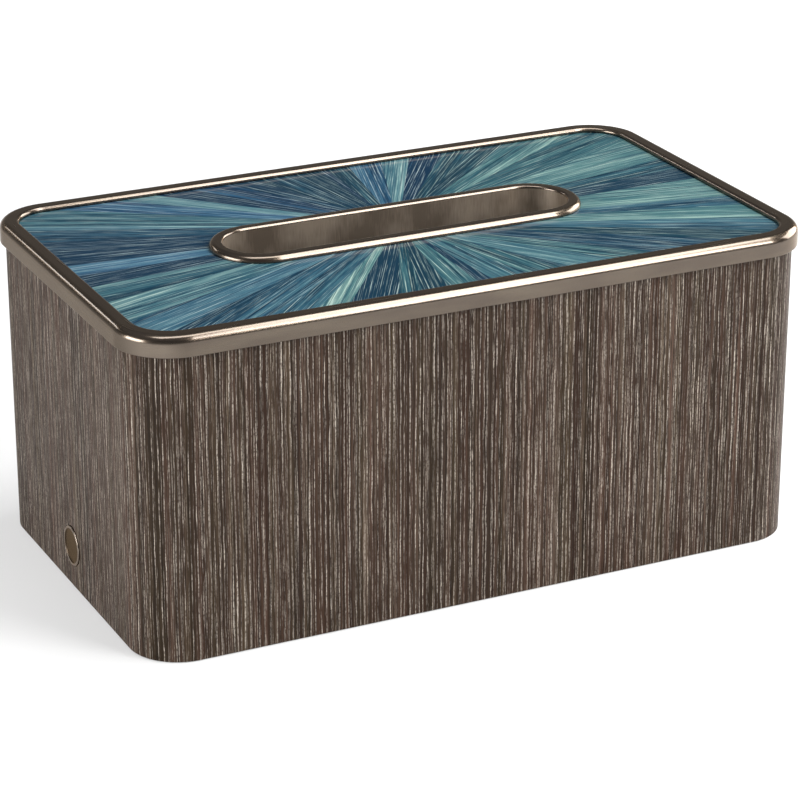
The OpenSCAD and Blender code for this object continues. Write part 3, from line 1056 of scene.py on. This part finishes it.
@dataclass
class VeneeredBox:
    """The box: its veneer wrap, its lipping and the boards of its core."""

    length: float = 262 * MM
    width: float = 150 * MM
    corner: float = 19 * MM
    top: float = 113.2 * MM
    foot: float = 0.3 * MM
    veneer: float = 0.8 * MM
    glue: float = 0.05 * MM
    core: float = 9 * MM
    lining: float = 0.8 * MM
    lipping: float = 3 * MM
    chamfer: float = 0.6 * MM
    eased: float = 0.25 * MM

    @property
    def outline(self) -> Outline:
        """The box's outline over the veneer."""
        return Outline(self.length, self.width, self.corner)

    @property
    def cavity(self) -> float:
        """Inset of the lined inner face from the veneer's face."""
        return self.veneer + 2 * self.glue + self.core + self.lining

    def build(self, badge: Badge, veneer: Material, edge: Material) -> None:
        """Makes the veneer wrap, with the badge's recess cut through it, and the lipping.

        Args:
            badge: The badge whose recess is cut.
            veneer: The veneer's material.
            edge: The lipping's material.
        """
        section = (
            Corner(0, self.foot, self.eased),
            Corner(0, self.top, self.eased),
            Corner(-self.veneer, self.top),
            Corner(-self.veneer, self.foot),
        )
        ring = sweep(section, self.outline, corner_steps=36, round_steps=3)
        wrap = fit_piece("veneer_wrap", ring, veneer, Body.BOX, "outer_veneer")
        self.cut_recess(wrap, badge)
        inner = self.veneer + self.glue
        section = (
            Corner(-inner, self.top - self.lipping),
            Corner(-inner, self.top),
            Corner(-self.cavity, self.top, self.chamfer),
            Corner(-self.cavity, self.top - self.lipping),
        )
        ring = sweep(section, self.outline, round_steps=4)
        fit_piece("oak_lipping", ring, edge, Body.BOX, "top_lipping")

    def cut_recess(self, wrap: Object, badge: Badge) -> None:
        """Cuts the round recess of the badge through the veneer.

        Args:
            wrap: The veneer's object.
            badge: The badge that sits in the recess.
        """
        tool = badge.cutter(self.veneer * 1.5)
        cut = wrap.modifiers.new("recess", "BOOLEAN")
        cut.object = tool
        cut.operation = "DIFFERENCE"
        cut.solver = "EXACT"
        wrap.modifiers.move(len(wrap.modifiers) - 1, 0)
        # The cut is applied alone, and the other modifiers stay live.
        held = [m for m in wrap.modifiers if m.type != "BOOLEAN"]
        for modifier in held:
            modifier.show_viewport = False
        bpy.context.view_layer.update()
        deps = bpy.context.evaluated_depsgraph_get()
        done = bpy.data.meshes.new_from_object(wrap.evaluated_get(deps))
        wrap.modifiers.remove(cut)
        for modifier in held:
            modifier.show_viewport = True
        wrap.data = done
        done.name = wrap.name
        bpy.data.objects.remove(tool)


@dataclass
class BoxLinings:
    """The microfibre inside the box and the felt under it."""

    box: VeneeredBox
    floor_low: float = 10.5 * MM
    rebate: float = 6.5 * MM
    base_gap: float = 0.2 * MM
    wall_edge: float = 0.3 * MM
    felt_inset: float = 1 * MM
    felt_thick: float = 1.5 * MM
    felt_edge: float = 0.35 * MM

    def build(self, suede: Material, felt: Material) -> None:
        """Makes the floor lining, the wall lining and the base felt.

        Args:
            suede: The linings' material.
            felt: The felt's material.
        """
        box = self.box
        lined = box.outline.inset(box.cavity - box.lining)
        floor_high = self.floor_low + box.lining
        sheet = plate(lined, self.floor_low, floor_high)
        floor = fit_piece("floor_suede", sheet, suede, Body.BOX, "floor_lining")
        wall_high = box.top - box.lipping
        section = (
            Corner(0, floor_high),
            Corner(0, wall_high),
            Corner(-box.lining, wall_high, self.wall_edge),
            Corner(-box.lining, floor_high, self.wall_edge),
        )
        ring = sweep(section, lined, corner_steps=12, round_steps=3)
        walls = fit_piece("wall_suede", ring, suede, Body.BOX, "wall_lining")
        under = box.veneer + box.glue + box.core - self.rebate + self.base_gap
        felted = box.outline.inset(under + self.felt_inset)
        sheet = plate(felted, 0, self.felt_thick, edge=self.felt_edge)
        sole = fit_piece("base_felt_sheet", sheet, felt, Body.BOX, "base_felt")


@dataclass
class LidFrame:
    """The lid's metal frame: a flange over the panel's edge and a band round it."""

    box: VeneeredBox
    overhang: float = 2 * MM
    seat: float = 0.5 * MM
    height: float = 7.8 * MM
    flange: float = 7.2 * MM
    flange_thick: float = 2 * MM
    band: float = 2.6 * MM
    arris: float = 3 * MM
    small: float = 0.4 * MM
    inner: float = 1.3 * MM

    @property
    def outline(self) -> Outline:
        """The frame's outer outline."""
        return self.box.outline.inset(-self.overhang)

    @property
    def low(self) -> float:
        """Height of the lid's underside."""
        return self.box.top + self.seat

    @property
    def high(self) -> float:
        """Height of the frame's top."""
        return self.low + self.height

    @property
    def panel_top(self) -> float:
        """Height of the marquetry's face, under the flanges."""
        return self.high - self.flange_thick

    def build(self, metal: Material) -> None:
        """Sweeps the frame's section round the lid.

        Args:
            metal: The frame's material.
        """
        section = (
            Corner(0, self.low, self.small),
            Corner(0, self.high, self.arris),
            Corner(-self.flange, self.high, self.inner),
            Corner(-self.flange, self.panel_top),
            Corner(-self.band, self.panel_top),
            Corner(-self.band, self.low),
        )
        ring = sweep(section, self.outline, corner_steps=40, round_steps=8)
        fit_piece("bronzed_lid_frame", ring, metal, Body.LID, "lid_frame")


@dataclass
class SlotCollar:
    """The metal bezel round the slot, with its tube down through the lid."""

    lid: LidFrame
    length: float = 137 * MM
    width: float = 28 * MM
    flange: float = 5.1 * MM
    flange_high: float = 2.5 * MM
    tube: float = 1.2 * MM
    bottom: float = 104.8 * MM
    outer_round: float = 2.2 * MM
    lip_round: float = 1 * MM
    end_round: float = 0.2 * MM
    gap: float = 0.3 * MM

    @property
    def opening(self) -> Outline:
        """The slot's own outline."""
        return Outline(self.length, self.width, self.width / 2)

    @property
    def hole(self) -> Outline:
        """The outline that the lid's layers leave free round the tube."""
        return self.opening.inset(-self.tube - self.gap)

    def build(self, metal: Material, sprayed: Material) -> None:
        """Sweeps the collar's section round the slot.

        Args:
            metal: The flange's material.
            sprayed: The material of the tube's inside.
        """
        under = self.lid.panel_top
        top = under + self.flange_high
        section = (
            Corner(self.flange, under),
            Corner(self.flange, top, self.outer_round),
            Corner(0, top, self.lip_round),
            Corner(0, self.bottom, self.end_round),
            Corner(self.tube, self.bottom, self.end_round),
            Corner(self.tube, under),
        )
        ring = sweep(section, self.opening, corner_steps=40, round_steps=8)
        name, slot, node = "bronzed_slot_collar", "bronzed_metal", "slot_collar"
        collar = fit_piece(name, ring, metal, Body.LID, node)
        # The tube's inside takes the lightened lacquer: painted light in its shade.
        collar.data.materials.append(sprayed)
        for face in collar.data.polygons:
            inside = self.opening.outward(*face.center[:2]) < 0.1 * MM
            face.material_index = int(inside and face.center.z < top - self.lip_round)


class Bunch(NamedTuple):
    """A bunch of straw that one to three neighbouring rays are cut from.

    Attributes:
        angle: Direction of its straws, in radians.
        level: How pale it is, from 0 to 1.
        lot: Its dye lot, from 0 for the bluer to 1 for the greener.
        shift: Offset of its straw coordinates.
    """

    angle: float
    level: float
    lot: float
    shift: float


@dataclass
class StrawSunburst:
    """The marquetry: 100 rays of dyed straw, laid from the slot to the frame."""

    lid: LidFrame
    collar: SlotCollar
    count: int = 100
    sway: float = 0.3
    thick: float = 0.8 * MM
    panel_gap: float = 0.15 * MM
    slices: int = 5
    seed: int = 1940
    match: float = 0.9

    ORDER = (0, 2, 1, 3, 1, 0, 2, 0, 1, 3, 0, 1, 2, 1, 3, 0, 2, 3, 1, 2)

    def edge(self, i: float) -> float:
        """Angle of a ray's first edge, in radians, as the part's source has it."""
        swing = self.sway * math.sin(math.radians(i * 137.5))
        return math.radians(360 * (i + swing) / self.count)

    def add_ray(self, bm: BMesh, i: int, bunch: Bunch, tone: float) -> None:
        """Lays one ray as a thin closed wedge with its own straw coordinates.

        Args:
            bm: The mesh of the ray's dye.
            i: The ray's number.
            bunch: The bunch of straw that it is cut from.
            tone: How much paler or deeper it is than its dye.
        """
        first = self.edge(i)
        last = self.edge(i + 1) if i < self.count - 1 else self.edge(0) + 2 * math.pi
        outer = self.lid.outline.inset(self.lid.band + self.panel_gap)
        made = bmesh.ops.create_grid(bm, x_segments=self.slices, y_segments=1, size=0.5)
        verts = made["verts"]
        for vert in verts:
            angle = first + (last - first) * (vert.co.x + 0.5)
            reach = (outer if vert.co.y > 0 else self.collar.hole).reach(angle)
            vert.co = Vector((math.cos(angle), math.sin(angle), 0)) * reach
            vert.co.z = self.lid.panel_top
        faces = list({f for v in verts for f in v.link_faces})
        bmesh.ops.recalc_face_normals(bm, faces=faces)
        if faces[0].normal.z < 0:
            bmesh.ops.reverse_faces(bm, faces=faces)
        bmesh.ops.solidify(bm, geom=faces, thickness=self.thick)
        solid = {f for v in verts for f in v.link_faces}
        solid |= {f for f0 in solid for v in f0.verts for f in v.link_faces}
        along = Vector((math.cos(bunch.angle), math.sin(bunch.angle), 0))
        across = Vector((-along.y, along.x, 0))
        uv = bm.loops.layers.uv["straw"]
        layers = bm.loops.layers.float
        marks = ((layers["ray_tone"], tone), (layers["dye_lot"], bunch.lot))
        for lp in (lp for face in solid for lp in face.loops):
            lp[uv].uv = [lp.vert.co.dot(way) + bunch.shift for way in (across, along)]
            for layer, value in marks:
                lp[layer] = value

    def bunch_up(self, draw: random.Random, levels: Sequence[float]) -> list[Bunch]:
        """Shares the rays out among bunches of straw.

        Args:
            draw: The seeded draw.
            levels: How pale each ray's dye is.

        Returns:
            The bunch of each ray, and of the few past the last one.
        """
        bunches: list[Bunch] = []
        while len(bunches) < self.count:
            i = len(bunches)
            size = draw.choice((1, 2, 2, 3))
            # The greener lot went mostly to the end away from the badge.
            lot = 0.63 + 0.28 * math.cos(self.edge(i) + 0.9) + draw.uniform(-0.45, 0.45)
            bunch = Bunch(
                angle=self.edge(i + size / 2) + math.radians(draw.uniform(-4, 4)),
                level=levels[i],
                lot=min(max(lot, 0), 1),
                shift=draw.uniform(0, 3),
            )
            bunches += [bunch] * size
        return bunches

    def build(self) -> None:
        """Lays the rays of each dye as one piece."""
        draw = random.Random(self.seed)
        order = [self.ORDER[i % len(self.ORDER)] for i in range(self.count)]
        levels = [list(Dye)[k].level for k in order]
        bunches = self.bunch_up(draw, levels)
        tones = [
            self.match * (bunch.level - level) + draw.uniform(-0.07, 0.07)
            for bunch, level in zip(bunches, levels)
        ]
        for k, dye in enumerate(Dye):
            bm = bmesh.new()
            bm.loops.layers.uv.new("straw")
            for mark in ("ray_tone", "dye_lot"):
                bm.loops.layers.float.new(mark)
            for i in (i for i in range(self.count) if order[i] == k):
                self.add_ray(bm, i, bunches[i], tones[i])
            bmesh.ops.recalc_face_normals(bm, faces=bm.faces)
            finish = DyedStraw(f"dyed_{dye.slot}_lacquered", dye).make()
            name = f"marquetry_{dye.node}"
            fit_piece(name, bm, finish, Body.LID, dye.node, faceted=True)


@dataclass
class LidUnderside:
    """The microfibre under the lid, and the felt dots that the lid rests on."""

    box: VeneeredBox
    collar: SlotCollar
    gap: float = 0.6 * MM
    chamfer: float = 1.2 * MM
    low: float = 106.9 * MM
    lining_edge: float = 0.2 * MM
    pad_radius: float = 3 * MM
    pad_thick: float = 0.5 * MM
    pad_edge: float = 0.12 * MM
    pad_pitch: float = 90 * MM
    pad_end: float = 38 * MM
    pad_steps: int = 40

    def build(self, suede: Material, felt: Material) -> None:
        """Makes the lining and the felt dots.

        Args:
            suede: The lining's material.
            felt: The dots' material.
        """
        lined = self.box.outline.inset(self.box.cavity + self.gap + self.chamfer)
        hole = self.collar.hole
        high = self.low + self.box.lining
        sheet = plate(lined, self.low, high, hole=hole, edge=self.lining_edge)
        lining = fit_piece("lid_suede", sheet, suede, Body.LID, "lid_lining")
        self.lay_dots(felt)

    def lay_dots(self, felt: Material) -> None:
        """Lays the felt dots on the middle of the core's edge.

        Args:
            felt: The dots' material.
        """
        line = self.box.veneer + self.box.glue + self.box.core / 2
        x, y = self.box.length / 2 - line, self.box.width / 2 - line
        spots = [(i * self.pad_pitch, s * y) for i in (-1, 0, 1) for s in (-1, 1)]
        spots += [(sx * x, sy * self.pad_end) for sx in (-1, 1) for sy in (-1, 1)]
        bm = bmesh.new()
        size = {"radius1": self.pad_radius, "radius2": self.pad_radius}
        size |= {"depth": self.pad_thick, "segments": self.pad_steps}
        for spot in spots:
            middle = Matrix.Translation((*spot, self.box.top + self.pad_thick / 2))
            bmesh.ops.create_cone(bm, cap_ends=True, matrix=middle, **size)
        rims = [e for e in bm.edges if e.calc_face_angle(0) > 1 and e.is_manifold]
        soften(bm, rims, self.pad_edge, 2)
        pads = fit_piece("felt_dots", bm, felt, Body.LID, "seat_pads")


class Lamp(NamedTuple):
    """A rectangular soft lamp.

    Attributes:
        name: The lamp's name.
        place: Where it hangs.
        size: Its width and height.
        glow: How bright its face is, where 1 is white.
        aim: The point that it faces.
    """

    name: str
    place: Point
    size: Pair
    glow: float
    aim: Point = (0, 0, 0.06)


@dataclass
class Studio:
    """The pale floor, the soft lamps and the camera at the photograph's angle."""

    azimuth: float = math.radians(25.772)
    pitch: float = math.radians(22.205)
    lens: float = 138.78
    sensor: float = 36.0
    eye: Point = (-0.4648, -0.9641, 0.487)
    reach: float = 8.0
    mirrored: float = 0.22
    # Floor patches for painted reflection: a pale one mirrored as a sheen on the near left
    # corner, a dark one mirrored as shade in the left end's metal.
    painted_sheen_patch: tuple[Point, float, float] = ((-0.42, -0.27, 0), 0.35, 0.4)
    painted_shade_patch: tuple[Point, float, float] = ((-0.26, 0.32, 0), 0.3, 0.22)
    room: tuple[Pair, ...] = ((0.0, 0.42), (0.15, 0.18), (0.5, 0.12), (0.8, 0.24))
    lamps: tuple[Lamp, ...] = (
        Lamp("overhead", (0.52, -0.37, 1.12), (0.42, 0.98), 9, (0.52, -0.37, 0)),
        Lamp("strip", (-0.09, -0.1, 1.12), (0.82, 0.32), 6, (-0.09, -0.1, 0)),
        Lamp("key", (0.5, -0.87, 0.68), (0.42, 0.6), 12.5, (0, -0.08, 0.1)),
        Lamp("left", (-1.3, 0.0, 0.32), (0.8, 0.5), 10.5),
        Lamp("rim", (-0.6, 1.26, 0.74), (0.5, 0.12), 5.0),
        Lamp("right", (1.25, 0.12, 0.5), (1.1, 0.7), 6.5),
    )

    def hang(self, name: str, data: Any, place: Point, ahead: Vector) -> Object:
        """Places a lamp or the camera.

        Args:
            name: Its name.
            data: Its data.
            place: Where it hangs.
            ahead: The direction that it faces.

        Returns:
            The new object.
        """
        hung = add_object(name, data)
        hung.location = place
        hung.rotation_euler = ahead.to_track_quat("-Z", "Y").to_euler()
        return hung

    def camera(self) -> None:
        """Sets the camera where the photograph's fit puts it."""
        data = bpy.data.cameras.new("view")
        data.lens, data.sensor_width, data.sensor_fit = self.lens, self.sensor, "HORIZONTAL"
        data.clip_start, data.clip_end = 0.01, 30
        flat = math.cos(self.pitch)
        ahead = (math.sin(self.azimuth) * flat, math.cos(self.azimuth) * flat)
        ahead = Vector((*ahead, -math.sin(self.pitch)))
        bpy.context.scene.camera = self.hang("view", data, self.eye, ahead)

    def paper(self) -> Material:
        """Makes the floor's paper, which stays white to the eye and keeps the shadow.

        Returns:
            The paper's material.
        """
        material = bpy.data.materials.new("floor_paper")
        material.use_nodes = True
        material.node_tree.nodes.clear()
        node = partial(add_node, material.node_tree)
        # Metal and lacquer mirror a part of the floor's glow, as of a floor further off.
        eye = node("LightPath", out="Is Camera Ray")
        bounced = (eye.node.outputs[f"Is {kind} Ray"] for kind in ("Glossy", "Transmission"))
        seen = node("Math.MULTIPLY_ADD", node("Math.MAXIMUM", *bounced), self.mirrored, eye)
        place = node("TexCoord", out="Object")
        # The paper is paler where the near left corner mirrors it, and darker where the left
        # end's metal does: patches of painted reflection, a painted sheen on the corner and
        # painted shade in the metal. Its glow makes up for the dark spot.
        spots = []
        for middle, radius, most in (self.painted_sheen_patch, self.painted_shade_patch):
            away = node("VectorMath.DISTANCE", place, middle, out="Value")
            spots.append(node("MapRange", away, radius, 0.4 * radius, 0, most))
        pale, dark = spots
        albedo = node("Math.SUBTRACT", node("Math.ADD", pale, 0.5), dark)
        away = node("VectorMath.LENGTH", place, out="Value")
        faded = node("Math.ADD", node("MapRange", away, 0.3, 1.1, 0.42, 0.95), dark)
        strength = node("Math.MULTIPLY", seen, faded)
        glow = node("Emission", (1, 1, 1, 1), strength)
        node("OutputMaterial", node("AddShader", node("BsdfDiffuse", albedo), glow))
        return material

    def floor(self) -> None:
        """Lays the floor."""
        bm = bmesh.new()
        bmesh.ops.create_grid(bm, x_segments=1, y_segments=1, size=self.reach)
        floor = add_object("floor", bm)
        floor.data.materials.append(self.paper())

    def softbox(self, lamp: Lamp) -> None:
        """Hangs a lamp.

        Args:
            lamp: The lamp.
        """
        data = bpy.data.lights.new(lamp.name, "AREA")
        data.shape, data.size, data.size_y = "RECTANGLE", *lamp.size
        data.energy = lamp.glow * math.pi * lamp.size[0] * lamp.size[1]
        self.hang(lamp.name, data, lamp.place, Vector(lamp.aim) - Vector(lamp.place))

    def world(self) -> None:
        """Fills the room: dim at eye level, paler overhead."""
        world = bpy.data.worlds.new("room")
        bpy.context.scene.world = world
        world.use_nodes = True
        world.node_tree.nodes.clear()
        node = partial(add_node, world.node_tree)
        up = node("SeparateXYZ", node("TexCoord", out="Generated"), out=2)
        node("OutputWorld", node("Background", node("ValToRGB", up, ramp=self.room), 1.0))

    def build(self) -> None:
        """Sets up the camera, floor, room and lamps."""
        self.camera()
        self.floor()
        self.world()
        for lamp in self.lamps:
            self.softbox(lamp)
        bpy.context.scene.view_settings.view_transform = "Standard"


def main() -> None:
    logging.basicConfig(level=logging.INFO, format="%(name)s %(message)s")
    bare = partial(BronzedNickel, grain=Grain.OBJECT)
    metal = BronzedNickel().make()
    suede = Microfibre().make()
    felt = PressedFelt().make()
    badge = Badge()
    box = VeneeredBox()
    box.build(badge, LimedOakVeneer().make(), StainedOakEdge().make())
    badge.build(
        bare("bronzed_nickel_disc", ("#50453a", "#625649"), coat=0.1).make(),
        # The rim's lighter metal is a painted highlight.
        bare("bronzed_nickel_rubbed", ("#93867a", "#a89b8d")).make(),
    )
    BoxLinings(box).build(suede, felt)
    lid = LidFrame(box)
    lid.build(metal)
    collar = SlotCollar(lid)
    collar.build(metal, LightenedTubeLacquer().make())
    StrawSunburst(lid, collar).build()
    LidUnderside(box, collar).build(suede, felt)
    ply = BirchPly().make()
    dress(ply, "front_panel", "back_panel", "left_panel", "right_panel")
    dress(ply, "corner_posts", "corner_splines")
    dress(ply, "base_board", "panel_board", "locating_board")
    dress(bare("bronzed_nickel_ring").make(), "collar_ring")
    dress(ZincSteel().make(), "base_screws", "board_screws", "ring_screws")
    Studio().build()


if __name__ == "__main__":
    main()
